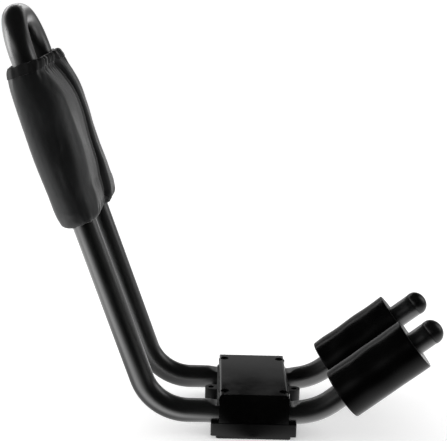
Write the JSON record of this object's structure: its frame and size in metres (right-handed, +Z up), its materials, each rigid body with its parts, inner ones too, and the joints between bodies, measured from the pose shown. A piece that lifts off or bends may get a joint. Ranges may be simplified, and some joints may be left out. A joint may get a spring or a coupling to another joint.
{
  "type": "kayak j-cradle carrier",
  "caption": "Rigid J-shaped kayak cradle for a roof bar: one bent black tube with a padded sleeve on the tall legs, foam rolls on the short arms and a two-part clamp mount.",
  "frame": {"origin": "the underside of the rubber base pad, where it lies on the roof bar, midway between the two mounting bolt holes", "axes": "+Z up, +X along the roof bar from the tall legs towards the short arms, Y along the vehicle with the tube's two legs on either side of Y = 0"},
  "size_m": [0.4876, 0.1604, 0.4693],
  "materials": {
    "powder_coat": "satin black powder coat on steel tube",
    "cap_plastic": "smooth black polyethylene",
    "foam": "matte black closed-cell foam",
    "pad_foam": "soft grey foam block",
    "sleeve_fabric": "black coated woven nylon",
    "hook_and_loop": "black hook tape",
    "flap_fabric": "black coated woven nylon with loop tape",
    "base_plastic": "black glass-filled nylon",
    "base_rubber": "black moulded rubber",
    "plate_steel": "black powder-coated steel plate",
    "cover_plastic": "semi-gloss black moulded plastic",
    "screw_steel": "black oxide steel",
    "zinc_steel": "zinc-plated steel"
  },
  "bodies": {
    "root": {"cradle_tube": "powder_coat", "end_cap_front": "cap_plastic", "end_cap_rear": "cap_plastic", "foam_roll_front": "foam", "foam_roll_rear": "foam", "pad_core": "pad_foam", "pad_sleeve": "sleeve_fabric", "hook_tape": "hook_and_loop", "pad_flap": "flap_fabric", "base_saddle": "base_plastic", "base_pad": "base_rubber", "clamp_plate": "plate_steel", "top_cover": "cover_plastic", "cover_screws": "screw_steel", "screw_washers": "zinc_steel", "lock_nuts": "zinc_steel", "tube_spacers": "zinc_steel"}
  },
  "joints": []
}
